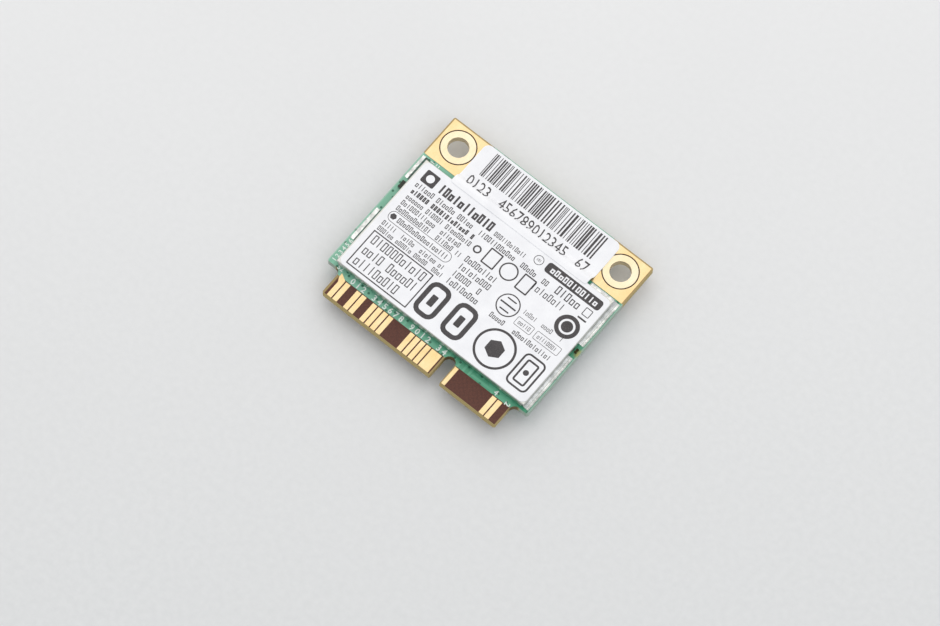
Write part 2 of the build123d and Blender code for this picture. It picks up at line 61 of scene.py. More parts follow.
# Ratio of the font's size to the height of its digits
size_per_digit_height = 1.38


def along(distance_mm):
    """Y in millimetres of a point at this distance from the contact edge."""
    return distance_mm - card_length_mm / 2


def linear(hex_code):
    """Turns an sRGB hex value into the linear colour that a shader's socket takes."""
    channels = [int(hex_code[i:i + 2], 16) / 255 for i in (1, 3, 5)]
    turned = [c / 12.92 if c <= 0.04045 else ((c + 0.055) / 1.055) ** 2.4 for c in channels]
    return (*turned, 1.0)


def add(tree, kind, inputs=None, **settings):
    """Adds one node with its settings, and sets or links its inputs by name or place."""
    made = tree.nodes.new(kind)
    for name, value in settings.items():
        setattr(made, name, value)
    for key, value in (inputs or {}).items():
        socket = made.inputs[key]
        if isinstance(value, bpy.types.NodeSocket):
            tree.links.new(value, socket)
        else:
            socket.default_value = value
    return made


def finish(name, **sockets):
    """A new material with one Principled shader, its constant sockets set, and places in mm."""
    made = bpy.data.materials.new(name)
    made.use_nodes = True
    tree = made.node_tree
    tree.nodes.clear()
    shader = add(tree, "ShaderNodeBsdfPrincipled", sockets)
    add(tree, "ShaderNodeOutputMaterial", {"Surface": shader.outputs[0]})
    place = add(tree, "ShaderNodeTexCoord").outputs["Object"]
    in_mm = add(tree, "ShaderNodeVectorMath", {0: place, "Scale": 1 / MM}, operation="SCALE")
    return made, tree, shader, in_mm.outputs[0]


def maths(tree, operation, first, second=None):
    """One step of arithmetic on one value or on two."""
    inputs = {0: first} if second is None else {0: first, 1: second}
    return add(tree, "ShaderNodeMath", inputs, operation=operation).outputs[0]


def sine(tree, value, per_mm):
    """Even wave between -1 and 1, with this many radians to the millimetre."""
    return maths(tree, "SINE", maths(tree, "MULTIPLY", value, per_mm))


def mixed(tree, share, first, second):
    """Colour that goes from the first to the second with the share."""
    made = add(tree, "ShaderNodeMix", {0: share, 6: first, 7: second}, data_type="RGBA")
    return made.outputs[2]


def blended(tree, share, first, second):
    """Value that goes from the first to the second with the share."""
    made = add(tree, "ShaderNodeMix", {0: share, 2: first, 3: second}, data_type="FLOAT")
    return made.outputs[0]


def ramp(tree, value, low, high, start=0.0, end=1.0):
    """Value carried from one range to another, held at the ends."""
    made = add(tree, "ShaderNodeMapRange", {0: value, 1: low, 2: high, 3: start, 4: end})
    return made.outputs[0]


def grain(tree, place, per_mm, detail=3.0):
    """Noise at a number of cells to the millimetre."""
    inputs = {"Vector": place, "Scale": per_mm, "Detail": detail}
    return add(tree, "ShaderNodeTexNoise", inputs).outputs["Fac"]


def bump(tree, shader, height, depth_mm):
    """Small relief of this depth from a height between 0 and 1."""
    made = add(tree, "ShaderNodeBump", {"Height": height, "Distance": depth_mm * MM})
    tree.links.new(made.outputs[0], shader.inputs["Normal"])


def masked_copper(tree, place, xyz):
    """Green of the solder mask over routed tracks and poured copper, with painted glare paling it
    towards the left and painted highlights along the sides.
    """
    blocks = add(
        tree, "ShaderNodeTexVoronoi", {"Vector": place, "Scale": 0.30, "Randomness": 0.8},
        voronoi_dimensions="2D", distance="CHEBYCHEV",
    ).outputs["Color"]
    chance = add(tree, "ShaderNodeSeparateColor", {0: blocks}).outputs
    tracks = [ramp(tree, sine(tree, xyz[axis], 7.85), 0.30, 0.55) for axis in (0, 1)]
    routed = blended(tree, ramp(tree, chance[0], 0.49, 0.51), tracks[0], tracks[1])
    poured = ramp(tree, chance[2], 0.50, 0.52)
    copper = blended(tree, ramp(tree, chance[1], 0.44, 0.46), poured, routed)
    green = mixed(tree, copper, linear("#419872"), linear("#59ab86"))
    cloud = ramp(tree, grain(tree, place, 0.35, 2.0), 0.45, 0.75, 0.0, 0.8)
    green = mixed(tree, cloud, green, linear("#57a886"))
    # Painted glare: the green pales towards the left side of the board
    painted_glare = ramp(tree, xyz[0], 8.0, -14.0, 0.0, 0.55)
    green = mixed(tree, painted_glare, green, linear("#97c9b3"))
    dots = add(
        tree, "ShaderNodeTexVoronoi", {"Vector": place, "Scale": 0.85, "Randomness": 0.9},
        voronoi_dimensions="2D",
    ).outputs["Distance"]
    green = mixed(tree, ramp(tree, dots, 0.10, 0.16, 1.0, 0.0), green, linear("#2b6b52"))
    # Painted highlights: the green pales along the board's left and right edges
    left_edge_highlight = ramp(tree, xyz[0], -14.82, -14.66, 0.55, 0.0)
    right_edge_highlight = ramp(tree, xyz[0], 14.66, 14.76, 0.0, 0.6)
    green = mixed(tree, left_edge_highlight, green, linear("#c4dccf"))
    return mixed(tree, right_edge_highlight, green, linear("#b4c9be"))


def bare_weave(tree, xyz, fine):
    """Brown of the bare woven glass on the tongues, tan along their rims and beside the notch."""
    weave = maths(tree, "MULTIPLY", sine(tree, xyz[0], 9.0), sine(tree, xyz[1], 9.0))
    bare = mixed(tree, ramp(tree, weave, -1.0, 1.0), linear("#4c2417"), linear("#552a1b"))
    bare = mixed(tree, ramp(tree, fine, 0.45, 0.7), bare, linear("#623423"))
    from_notch = maths(tree, "ABSOLUTE", maths(tree, "SUBTRACT", xyz[0], notch_x_mm))
    rim = ramp(tree, xyz[0], -12.58, -12.46, 1.0, 0.0)
    for other in (
        ramp(tree, xyz[0], 12.68, 12.76), ramp(tree, from_notch, 0.90, 1.0, 1.0, 0.0),
        ramp(tree, xyz[1], along(0.08), along(0.16), 1.0, 0.0),
    ):
        rim = maths(tree, "MAXIMUM", rim, other)
    return mixed(tree, rim, bare, linear("#a08a58"))


def cut_edge(tree, xyz, from_middle, fine):
    """Plies along the cut edges: resin, greenish along the body, with painted shade darkening them
    in the notch and shoulders.
    """
    plies = ramp(tree, sine(tree, xyz[2], 25.0), -1.0, 1.0)
    resin = mixed(tree, plies, linear("#a8945c"), linear("#b6a36c"))
    glass = mixed(tree, plies, linear("#98a99c"), linear("#a6b5a8"))
    before_tabs = ramp(tree, xyz[1], along(20.9), along(21.1), 1.0, 0.0)
    body = maths(tree, "MULTIPLY", ramp(tree, from_middle, 13.5, 13.7), before_tabs)
    cut = mixed(tree, body, resin, glass)
    # Painted shade: the cut faces go dark brown in the notch and at the shoulders
    into_notch = ramp(tree, xyz[1], along(2.1), along(3.0), 0.0, 0.8)
    painted_notch_shade = maths(tree, "MULTIPLY", into_notch, ramp(tree, xyz[1], along(4.3), along(4.2)))
    painted_notch_shade = maths(tree, "MULTIPLY", painted_notch_shade, ramp(tree, from_middle, 13.6, 13.4))
    cut = mixed(tree, painted_notch_shade, cut, linear("#45341d"))
    return mixed(tree, ramp(tree, fine, 0.55, 0.9), cut, linear("#7d6f4a"))


# Green solder mask on glass-fibre laminate: glossy over faint copper, bare and brown on the tongues
# and round the holes, with painted shade in the groove round the holes and in the notch, olive at
# the tabs' rims, and cut through its plies along the edges
def solder_masked_laminate():
    made, tree, shader, place = finish("solder_masked_glass_fibre", IOR=1.50)
    xyz = add(tree, "ShaderNodeSeparateXYZ", {0: place}).outputs
    from_middle = maths(tree, "ABSOLUTE", xyz[0])
    fine = grain(tree, place, 9.0, 4.0)
    tabs = maths(
        tree, "MULTIPLY", ramp(tree, xyz[1], along(21.02), along(21.06)),
        ramp(tree, from_middle, 9.0, 9.05),
    )
    face = mixed(tree, tabs, masked_copper(tree, place, xyz), linear("#a8905a"))
    tongue = ramp(tree, xyz[1], along(2.84), along(2.88), 1.0, 0.0)
    face = mixed(tree, tongue, face, bare_weave(tree, xyz, fine))
    folded = add(tree, "ShaderNodeCombineXYZ", {0: from_middle, 1: xyz[1]}).outputs[0]
    hole = (hole_x_mm, along(hole_from_contacts_mm), 0.0)
    from_hole = add(tree, "ShaderNodeVectorMath", {0: folded, 1: hole}, operation="DISTANCE")
    # Bare brown laminate round the holes, darkened further as painted shade for the narrow groove
    # beside the eyelets
    bare_ring_with_painted_shade = ramp(tree, from_hole.outputs["Value"], 2.35, 2.40, 1.0, 0.0)
    face = mixed(tree, bare_ring_with_painted_shade, face, linear("#3d1f10"))
    # Resin shows where the board was broken out of its panel, on the right side
    torn = (14.8, along(13.0), 2.4)
    from_torn = add(tree, "ShaderNodeVectorMath", {0: place, 1: torn}, operation="DISTANCE")
    stain_and_shade = ramp(tree, from_torn.outputs["Value"], 0.30, 0.75, 0.85, 0.0)
    face = mixed(tree, stain_and_shade, face, linear("#a6a455"))
    normal = add(tree, "ShaderNodeNewGeometry").outputs["Normal"]
    up = maths(tree, "ABSOLUTE", add(tree, "ShaderNodeSeparateXYZ", {0: normal}).outputs[2])
    flat = ramp(tree, up, 0.85, 0.95)
    tone = mixed(tree, flat, cut_edge(tree, xyz, from_middle, fine), face)
    tree.links.new(tone, shader.inputs["Base Color"])
    uncoated = maths(tree, "MAXIMUM", tongue, bare_ring_with_painted_shade)
    rough = blended(tree, flat, 0.7, ramp(tree, uncoated, 0.0, 1.0, 0.34, 0.62))
    tree.links.new(rough, shader.inputs["Roughness"])
    bump(tree, shader, grain(tree, place, 5.0), 0.004)
    return made


def plated_gold(name, low, high, pit, rough_low, rough_high):
    """Gold plated over nickel on copper: fine scratches, a cloudy tone and dull pits."""
    made, tree, shader, place = finish(name, Metallic=1.0)
    drawn_out = (14.0, 0.9, 14.0)
    streaks = add(tree, "ShaderNodeMapping", {"Vector": place, "Scale": drawn_out}).outputs[0]
    lines = grain(tree, streaks, 1.0)
    cloud = grain(tree, place, 0.6)
    pits = grain(tree, place, 11.0)
    tone = mixed(tree, ramp(tree, cloud, 0.3, 0.75), linear(low), linear(high))
    tone = mixed(tree, ramp(tree, pits, 0.62, 0.82), tone, linear(pit))
    tree.links.new(tone, shader.inputs["Base Color"])
    tree.links.new(ramp(tree, lines, 0.3, 0.7, rough_low, rough_high), shader.inputs["Roughness"])
    bump(tree, shader, lines, 0.0012)
    return made


# Tin-plated steel sheet, folded: grey and silvery, with drawing marks and dull patches
def tinned_sheet():
    made, tree, shader, place = finish("tinned_steel_sheet", Metallic=1.0)
    cloud = grain(tree, place, 0.16, 2.0)
    drawn_out = (0.5, 24.0, 24.0)
    drawn = add(tree, "ShaderNodeMapping", {"Vector": place, "Scale": drawn_out}).outputs[0]
    lines = grain(tree, drawn, 1.0, 2.0)
    tone = mixed(tree, ramp(tree, cloud, 0.3, 0.75), linear("#c2c2be"), linear("#d0d0cb"))
    tree.links.new(tone, shader.inputs["Base Color"])
    tree.links.new(ramp(tree, lines, 0.3, 0.7, 0.24, 0.42), shader.inputs["Roughness"])
    bump(tree, shader, lines, 0.0012)
    return made


# Solder melted and set: bright silver, smooth in the middle, flecked grey where it thins out, and
# with painted shade, dark green-grey and not metallic, in the crease along the wall of the can
def set_solder():
    made, tree, shader, place = finish("reflowed_tin_solder", Metallic=1.0)
    xyz = add(tree, "ShaderNodeSeparateXYZ", {0: place}).outputs
    lumps = grain(tree, place, 1.3)
    specks = grain(tree, place, 4.5)
    tone = mixed(tree, ramp(tree, lumps, 0.38, 0.62), linear("#b9bbb9"), linear("#e3e4e2"))
    tone = mixed(tree, ramp(tree, specks, 0.60, 0.74, 0.0, 0.6), tone, linear("#979a95"))
    # A dull line runs along the right seam
    line_x = 14.32
    from_line = maths(tree, "ABSOLUTE", maths(tree, "SUBTRACT", xyz[0], line_x))
    tone = mixed(tree, ramp(tree, from_line, 0.03, 0.07, 0.55, 0.0), tone, linear("#8f9391"))
    # Painted shade lies in the crease between the left seam and the wall of the can, on the
    # labelled face
    crease_shade_x = ramp(tree, xyz[1], along(14.0), along(15.0), -14.15, -14.24)
    painted_crease_shade = ramp(tree, maths(tree, "SUBTRACT", xyz[0], crease_shade_x), -0.02, 0.03)
    painted_crease_shade = maths(tree, "MULTIPLY", painted_crease_shade, ramp(tree, xyz[0], -13.0, -12.9, 1.0, 0.0))
    painted_crease_shade = maths(tree, "MULTIPLY", painted_crease_shade, ramp(tree, xyz[2], 2.0, 2.1))
    stain_and_shade = mixed(tree, ramp(tree, specks, 0.45, 0.6), linear("#3f6f5c"), linear("#23332c"))
    tone = mixed(tree, painted_crease_shade, tone, stain_and_shade)
    tree.links.new(tone, shader.inputs["Base Color"])
    tree.links.new(ramp(tree, painted_crease_shade, 0.0, 1.0, 1.0, 0.0), shader.inputs["Metallic"])
    tree.links.new(ramp(tree, specks, 0.4, 0.7, 0.26, 0.45), shader.inputs["Roughness"])
    bump(tree, shader, lumps, 0.012)
    return made


# White polyester film: satin, faintly mottled where it bridges the sheet below
def label_film():
    made, tree, shader, place = finish("white_polyester_film", IOR=1.47, Roughness=0.42)
    cloud = grain(tree, place, 0.5)
    fine = grain(tree, place, 14.0)
    tone = mixed(tree, ramp(tree, cloud, 0.3, 0.7), linear("#eeeef1"), linear("#f7f7f9"))
    tone = mixed(tree, ramp(tree, fine, 0.55, 0.8), tone, linear("#e3e3e7"))
    tree.links.new(tone, shader.inputs["Base Color"])
    bump(tree, shader, cloud, 0.012)
    return made


# Thermal-transfer ink: charcoal, a little shiny, thin and grey where the ribbon skipped
def printed_ink():
    made, tree, shader, place = finish("charcoal_transfer_ink", IOR=1.5, Roughness=0.42)
    skips = grain(tree, place, 12.0)
    bands = grain(tree, place, 0.5, 2.0)
    tone = mixed(tree, ramp(tree, bands, 0.35, 0.7), linear("#292527"), linear("#393537"))
    tone = mixed(tree, ramp(tree, skips, 0.5, 0.85), tone, linear("#767173"))
    tree.links.new(tone, shader.inputs["Base Color"])
    return made


# White epoxy ink, screened on the board: matt, with the mask showing through where it is thin
def screened_ink():
    made, tree, shader, place = finish("white_screened_epoxy", IOR=1.5, Roughness=0.6)
    thin = grain(tree, place, 10.0)
    tone = mixed(tree, ramp(tree, thin, 0.45, 0.8), linear("#eef4ee"), linear("#b9d3c4"))
    tree.links.new(tone, shader.inputs["Base Color"])
    return made


def moulding(name, dark, light, rough_low, rough_high, per_mm):
    """Moulded or pressed body: two close tones, with the grain of its filler."""
    made, tree, shader, place = finish(name, IOR=1.5)
    speckle = grain(tree, place, per_mm, 4.0)
    cloud = grain(tree, place, 0.8, 2.0)
    tone = mixed(tree, ramp(tree, speckle, 0.35, 0.7), linear(dark), linear(light))
    tone = mixed(tree, ramp(tree, cloud, 0.4, 0.9), tone, linear(dark))
    tree.links.new(tone, shader.inputs["Base Color"])
    tree.links.new(ramp(tree, speckle, 0.3, 0.7, rough_low, rough_high), shader.inputs["Roughness"])
    bump(tree, shader, speckle, 0.004)
    return made


def chip_part(name, dark, light, face_mm, rise, body_mm, tinned="#c9c9c4"):
    """Ceramic chip part on this face of the board: its tinned ends stand above its body."""
    made, tree, shader, place = finish(name, IOR=1.6)
    height = add(tree, "ShaderNodeSeparateXYZ", {0: place}).outputs[2]
    height = maths(tree, "MULTIPLY", maths(tree, "SUBTRACT", height, face_mm), rise)
    ends = ramp(tree, height, body_mm - 0.008, body_mm - 0.004)
    speckle = grain(tree, place, 10.0)
    body = mixed(tree, ramp(tree, speckle, 0.3, 0.7), linear(dark), linear(light))
    tree.links.new(mixed(tree, ends, body, linear(tinned)), shader.inputs["Base Color"])
    tree.links.new(ends, shader.inputs["Metallic"])
    tree.links.new(ramp(tree, speckle, 0.3, 0.7, 0.3, 0.5), shader.inputs["Roughness"])
    return made


laminate = solder_masked_laminate()
# Hard gold on the contacts and pads: warm, bright, streaked from sliding into a socket
gold = plated_gold("hard_gold_plating", "#dfc48f", "#e7d0a4", "#bc955f", 0.26, 0.46)
# Immersion gold on the barrels and their lands: thinner, paler and duller
pale_gold = plated_gold("thin_immersion_gold", "#e6d7b4", "#ecdfc3", "#c6b088", 0.34, 0.52)
tin = tinned_sheet()
solder = set_solder()
film = label_film()
ink = printed_ink()
screened = screened_ink()
# Liquid-crystal polymer, moulded: ivory and matt, so the socket's base stays pale under the gold
polymer = moulding("ivory_moulded_polymer", "#b9b29b", "#d8d2bd", 0.45, 0.62, 6.0)
# Epoxy filled with silica, moulded: near black, matt, with a grey grain
epoxy = moulding("black_moulded_epoxy", "#151516", "#2c2c2e", 0.5, 0.7, 9.0)
# Iron-nickel lid, welded on: pale grey metal with a dull, slightly mottled face
welded_lid = moulding("welded_iron_nickel_lid", "#8b8b88", "#b4b4b0", 0.3, 0.45, 3.0)
# Ferrite, pressed and coated: dark grey, fine and dull
ferrite = moulding("pressed_ferrite", "#262628", "#3c3c40", 0.55, 0.75, 8.0)
# Ceramic chip parts: fired bodies with tinned ends, on one face of the board or on the other,
# where 1.0 is up and -1.0 is down. The last length is the height of the body between its ends
label_side = (board_top_mm, 1.0)
hidden_side = (board_bottom_mm, -1.0)
edge_capacitor = chip_part(
    "grey_ceramic_left_edge", "#565c55", "#8d938a", *label_side, 0.32, "#3b3e39",
)
edge_resistor = chip_part(
    "dark_ceramic_right_edge", "#0f0f10", "#1c1b19", *label_side, 0.23, "#37321f",
)
label_capacitor = chip_part("tan_ceramic_label_side", "#8a6b48", "#a98a62", *label_side, 0.47)
label_resistor = chip_part("dark_ceramic_label_side", "#141416", "#2a2a2d", *label_side, 0.23)
hidden_capacitor = chip_part("tan_ceramic_hidden_side", "#8a6b48", "#a98a62", *hidden_side, 0.47)
hidden_resistor = chip_part("dark_ceramic_hidden_side", "#141416", "#2a2a2d", *hidden_side, 0.23)
diplexer = chip_part("white_ceramic_diplexer", "#b9b6aa", "#d9d6cb", *hidden_side, 0.92)

finishes = {
    laminate: ("circuit_board",),
    gold: (
        "even_pin_contacts", "odd_pin_contacts", "left_ground_pads", "right_ground_pads",
        "main_antenna_ring", "main_antenna_pin", "auxiliary_antenna_ring", "auxiliary_antenna_pin",
    ),
    pale_gold: ("left_hold_down_eyelet", "right_hold_down_eyelet"),
    tin: (
        "label_side_shield_fence", "label_side_shield_lid",
        "hidden_side_shield_fence", "hidden_side_shield_lid",
    ),
    solder: ("label_side_solder_seams", "hidden_side_solder_seams", "rear_solder_seam"),
    film: ("main_label", "serial_label"),
    polymer: ("main_antenna_insulator", "auxiliary_antenna_insulator"),
    epoxy: (
        "main_radio_chip", "voltage_regulator", "configuration_memory", "front_end_switches",
        "power_amplifiers", "short_range_radio_chip", "low_noise_amplifiers",
    ),
    welded_lid: ("reference_crystal", "short_range_crystal"),
    ferrite: ("power_inductors",),
    edge_capacitor: ("left_edge_capacitor",),
    edge_resistor: ("right_edge_resistor",),
    label_capacitor: ("label_side_capacitors",),
    label_resistor: ("label_side_resistors",),
    hidden_capacitor: ("hidden_side_capacitors",),
    hidden_resistor: ("hidden_side_resistors",),
    diplexer: ("antenna_diplexers",),
}
for material, names in finishes.items():
    for name in names:
        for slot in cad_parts[name].material_slots:
            slot.link = "OBJECT"
            slot.material = material


# Print: thin closed meshes of ink that follow the face they lie on
def serial_label_height(y_mm):
    """Height of the serial label's upper face, which drops from the can in two even arcs."""
    top = main_label_top_mm + label_thickness_mm
    low = board_top_mm + plating_mm + label_thickness_mm
    share = min(max((y_mm - along(drop_start_mm)) / drop_run_mm, 0.0), 1.0)
    half_run, half_drop = drop_run_mm / 2, (top - low) / 2
    radius = (half_run**2 + half_drop**2) / (2 * half_drop)
    if share <= 0.5:
        radius += label_thickness_mm
        return top - radius + math.sqrt(max(radius**2 - (share * drop_run_mm)**2, 0.0))
    radius -= label_thickness_mm
    return low + radius - math.sqrt(max(radius**2 - ((1.0 - share) * drop_run_mm)**2, 0.0))


def foot_at(base_mm, y_mm):
    """Height of the face that carries the ink, where it is level and where it bends."""
    return base_mm(y_mm) if callable(base_mm) else base_mm


def prism(mesh, outline, base_mm):
    """Adds a thin closed prism of ink over an outline that runs anticlockwise."""
    ring_low, ring_high = [], []
    for x, y in outline:
        foot = foot_at(base_mm, y) + ink_lift_mm
        ring_low.append(mesh.verts.new((x * MM, y * MM, foot * MM)))
        ring_high.append(mesh.verts.new((x * MM, y * MM, (foot + ink_mm) * MM)))
    mesh.faces.new(ring_high)
    mesh.faces.new(list(reversed(ring_low)))
    for i in range(len(outline)):
        j = (i + 1) % len(outline)
        mesh.faces.new((ring_low[i], ring_low[j], ring_high[j], ring_high[i]))


def band(mesh, inner, outer, base_mm):
    """Adds a closed band of ink between two outlines with as many points."""
    for i in range(len(inner)):
        j = (i + 1) % len(inner)
        prism(mesh, [inner[i], outer[i], outer[j], inner[j]], base_mm)


def circle(cx, cy, r, count=40, start=0.0):
    """Points round a circle."""
    angles = [start + 2 * math.pi * i / count for i in range(count)]
    return [(cx + r * math.cos(angle), cy + r * math.sin(angle)) for angle in angles]


def box(x0, y0, x1, y1, r=0.0, per_corner=5):
    """Outline of a rectangle, with its corners rounded where a radius is given."""
    if r <= 0:
        return [(x0, y0), (x1, y0), (x1, y1), (x0, y1)]
    outline = []
    corners = (
        (x1 - r, y0 + r, -90), (x1 - r, y1 - r, 0), (x0 + r, y1 - r, 90), (x0 + r, y0 + r, 180),
    )
    for cx, cy, begin in corners:
        for i in range(per_corner):
            angle = math.radians(begin + 90 * i / (per_corner - 1))
            outline.append((cx + r * math.cos(angle), cy + r * math.sin(angle)))
    return outline


def frame_band(mesh, x0, y0, x1, y1, stroke, r, base_mm):
    """Frame with rounded corners."""
    outer = box(x0, y0, x1, y1, r)
    inner = box(x0 + stroke, y0 + stroke, x1 - stroke, y1 - stroke, max(r - stroke, 0.01))
    band(mesh, inner, outer, base_mm)


def ring(mesh, cx, cy, r, stroke, base_mm, count=44):
    """Ring of this outer radius."""
    band(mesh, circle(cx, cy, r - stroke, count), circle(cx, cy, r, count), base_mm)


def bar_cube(tree, x, y, wide, tall, thick):
    """Flat block whose foot is at this place, for the marks of a printed row."""
    size = add(tree, "ShaderNodeCombineXYZ", {0: wide, 1: tall, 2: thick}).outputs[0]
    cube = add(tree, "GeometryNodeMeshCube", {"Size": size}).outputs[0]
    middle = maths(tree, "ADD", maths(tree, "MULTIPLY", tall, 0.5), y)
    place = add(tree, "ShaderNodeCombineXYZ", {0: x, 1: middle}).outputs[0]
    moved = add(tree, "GeometryNodeTransform", {"Geometry": cube, "Translation": place})
    return moved.outputs[0]


def open_box(tree, wide, tall, stroke, thick):
    """Upright open box of four strokes."""
    right = maths(tree, "MULTIPLY", maths(tree, "SUBTRACT", wide, stroke), 0.5)
    left = maths(tree, "MULTIPLY", right, -1.0)
    inner = maths(tree, "SUBTRACT", wide, maths(tree, "MULTIPLY", stroke, 2.0))
    top = maths(tree, "SUBTRACT", tall, stroke)
    join = add(tree, "GeometryNodeJoinGeometry")
    for x, y, across, up in (
        (right, 0.0, stroke, tall), (left, 0.0, stroke, tall),
        (0.0, 0.0, inner, stroke), (0.0, top, inner, stroke),
    ):
        tree.links.new(bar_cube(tree, x, y, across, up, thick), join.inputs[0])
    return join.outputs[0]


def printed_row_tree():
    """Geometry Nodes: a row of bars and open boxes by chance, set in groups like words."""
    tree = bpy.data.node_groups.new("row_of_printed_marks", "GeometryNodeTree")
    face = tree.interface
    wanted = (
        ("Pitch", "NodeSocketFloat"), ("Count", "NodeSocketInt"),
        ("Height", "NodeSocketFloat"), ("Thickness", "NodeSocketFloat"),
        ("Stroke", "NodeSocketFloat"), ("Body", "NodeSocketFloat"),
        ("Group", "NodeSocketInt"), ("Seed", "NodeSocketInt"), ("Ink", "NodeSocketMaterial"),
    )
    for name, kind in wanted:
        face.new_socket(name, in_out="INPUT", socket_type=kind)
    face.new_socket("Geometry", in_out="OUTPUT", socket_type="NodeSocketGeometry")
    given = add(tree, "NodeGroupInput").outputs
    stroke, thick, tall = given["Stroke"], given["Thickness"], given["Height"]
    step = add(tree, "ShaderNodeCombineXYZ", {0: given["Pitch"]}).outputs[0]
    line = add(
        tree, "GeometryNodeMeshLine", {"Count": given["Count"], "Offset": step}, mode="OFFSET",
    )
    # Each word keeps its first marks, between 55 % and all of its places
    index = add(tree, "GeometryNodeInputIndex").outputs[0]
    place = maths(tree, "MODULO", index, given["Group"])
    word = maths(tree, "FLOOR", maths(tree, "DIVIDE", index, given["Group"]))
    length = add(
        tree, "FunctionNodeRandomValue", {2: 0.55, 3: 1.0, "ID": word, "Seed": given["Seed"]},
        data_type="FLOAT",
    ).outputs[1]
    length = maths(tree, "MULTIPLY", length, given["Group"])
    kept = add(tree, "FunctionNodeCompare", {0: place, 1: length}, operation="LESS_THAN").outputs[0]
    # A mark is a bar, a tall box or a low box
    wide = maths(tree, "MULTIPLY", given["Pitch"], given["Body"])
    low = maths(tree, "MULTIPLY", tall, 0.70)
    kinds = add(tree, "GeometryNodeGeometryToInstance")
    for made in (
        bar_cube(tree, 0.0, 0.0, stroke, tall, thick), open_box(tree, wide, tall, stroke, thick),
        open_box(tree, wide, low, stroke, thick),
    ):
        tree.links.new(made, kinds.inputs[0])
    pick = add(
        tree, "FunctionNodeRandomValue", {4: 0, 5: 2, "Seed": given["Seed"]}, data_type="INT",
    ).outputs[2]
    placed = add(
        tree, "GeometryNodeInstanceOnPoints",
        {
            "Points": line.outputs[0], "Selection": kept, "Instance": kinds.outputs[0],
            "Pick Instance": True, "Instance Index": pick,
        },
    ).outputs[0]
    real = add(tree, "GeometryNodeRealizeInstances", {0: placed}).outputs[0]
    inked = add(tree, "GeometryNodeSetMaterial", {"Geometry": real, "Material": given["Ink"]})
    add(tree, "NodeGroupOutput", {"Geometry": inked.outputs[0]})
    return tree


printed_rows = printed_row_tree()


def grown(tree, values):
    """Mesh that a Geometry Nodes tree makes from its named inputs."""
    carrier = bpy.data.objects.new("carrier", bpy.data.meshes.new("carrier"))
    bpy.context.scene.collection.objects.link(carrier)
    modifier = carrier.modifiers.new("grown", "NODES")
    modifier.node_group = tree
    for item in tree.interface.items_tree:
        if item.in_out == "INPUT" and item.name in values:
            modifier[item.identifier] = values[item.name]
    bpy.context.view_layer.update()
    depsgraph = bpy.context.evaluated_depsgraph_get()
    made = bpy.data.meshes.new_from_object(carrier.evaluated_get(depsgraph))
    carrier.modifiers.remove(modifier)
    bpy.data.objects.remove(carrier)
    return made


def lay(mesh, made, x, y, base_mm):
    """Moves flat print to its place, bends it to the face that carries it and adds it."""
    for vertex in made.vertices:
        y_mm = y + vertex.co.y / MM
        lift = foot_at(base_mm, y_mm) + ink_lift_mm + ink_mm / 2
        vertex.co = (vertex.co.x + x * MM, y_mm * MM, vertex.co.z + lift * MM)
    mesh.from_mesh(made)
    bpy.data.meshes.remove(made)


def row(mesh, x0, y0, x1, height, seed, base_mm, pitch=0.64, stroke=0.14, body=0.74, group=7):
    """Adds a row of marks. Pitch and stroke are shares of the height, and body of the pitch."""
    step = pitch * height
    values = {
        "Pitch": step * MM, "Count": max(int((x1 - x0) / step), 1), "Height": height * MM,
        "Thickness": ink_mm * MM, "Stroke": stroke * height * MM, "Body": body, "Group": group,
        "Seed": seed, "Ink": ink,
    }
    lay(mesh, grown(printed_rows, values), x0 + step / 2, y0, base_mm)


def cut_across(made, low, high, step):
    """Cuts a mesh across at even steps in Y, so that it can be bent to a curved face."""
    cut = bmesh.new()
    cut.from_mesh(made)
    level = low
    while level < high:
        every = cut.verts[:] + cut.edges[:] + cut.faces[:]
        bmesh.ops.bisect_plane(cut, geom=every, plane_co=(0, level, 0), plane_no=(0, 1, 0))
        level += step
    cut.to_mesh(made)
    cut.free()


def numbers(mesh, text, x, y, height, base_mm, turn=0.0, weight=0.0, squeeze=1.0, lean=0.0):
    """Adds plain numbers in ink: weight thickens their strokes, and lean slants them."""
    curve = bpy.data.curves.new("numbers", "FONT")
    curve.body = text
    curve.size = height * size_per_digit_height * MM
    curve.align_x = "CENTER"
    curve.offset = weight * height * MM
    curve.shear = lean
    curve.extrude = ink_mm * MM / 2
    curve.resolution_u = 2
    carrier = bpy.data.objects.new("numbers", curve)
    bpy.context.scene.collection.objects.link(carrier)
    bpy.context.view_layer.update()
    depsgraph = bpy.context.evaluated_depsgraph_get()
    made = bpy.data.meshes.new_from_object(carrier.evaluated_get(depsgraph))
    bpy.data.objects.remove(carrier)
    if callable(base_mm):
        cut_across(made, 0.05 * MM, height * MM, 0.10 * MM)
    made.transform(Matrix.Diagonal((squeeze, 1.0, 1.0, 1.0)))
    made.transform(Matrix.Rotation(math.radians(turn), 4, "Z"))
    lay(mesh, made, x, y, base_mm)


def piece(name, mesh, material):
    """Turns a bmesh into a piece of the card that rides with it."""
    data = bpy.data.meshes.new(name)
    bmesh.ops.remove_doubles(mesh, verts=mesh.verts, dist=1e-9)
    bmesh.ops.recalc_face_normals(mesh, faces=mesh.faces)
    mesh.to_mesh(data)
    mesh.free()
    data.materials.append(material)
    for polygon in data.polygons:
        polygon.material_index = 0
    made = bpy.data.objects.new(name, data)
    bpy.context.scene.collection.objects.link(made)
    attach(made, "root")
    return made


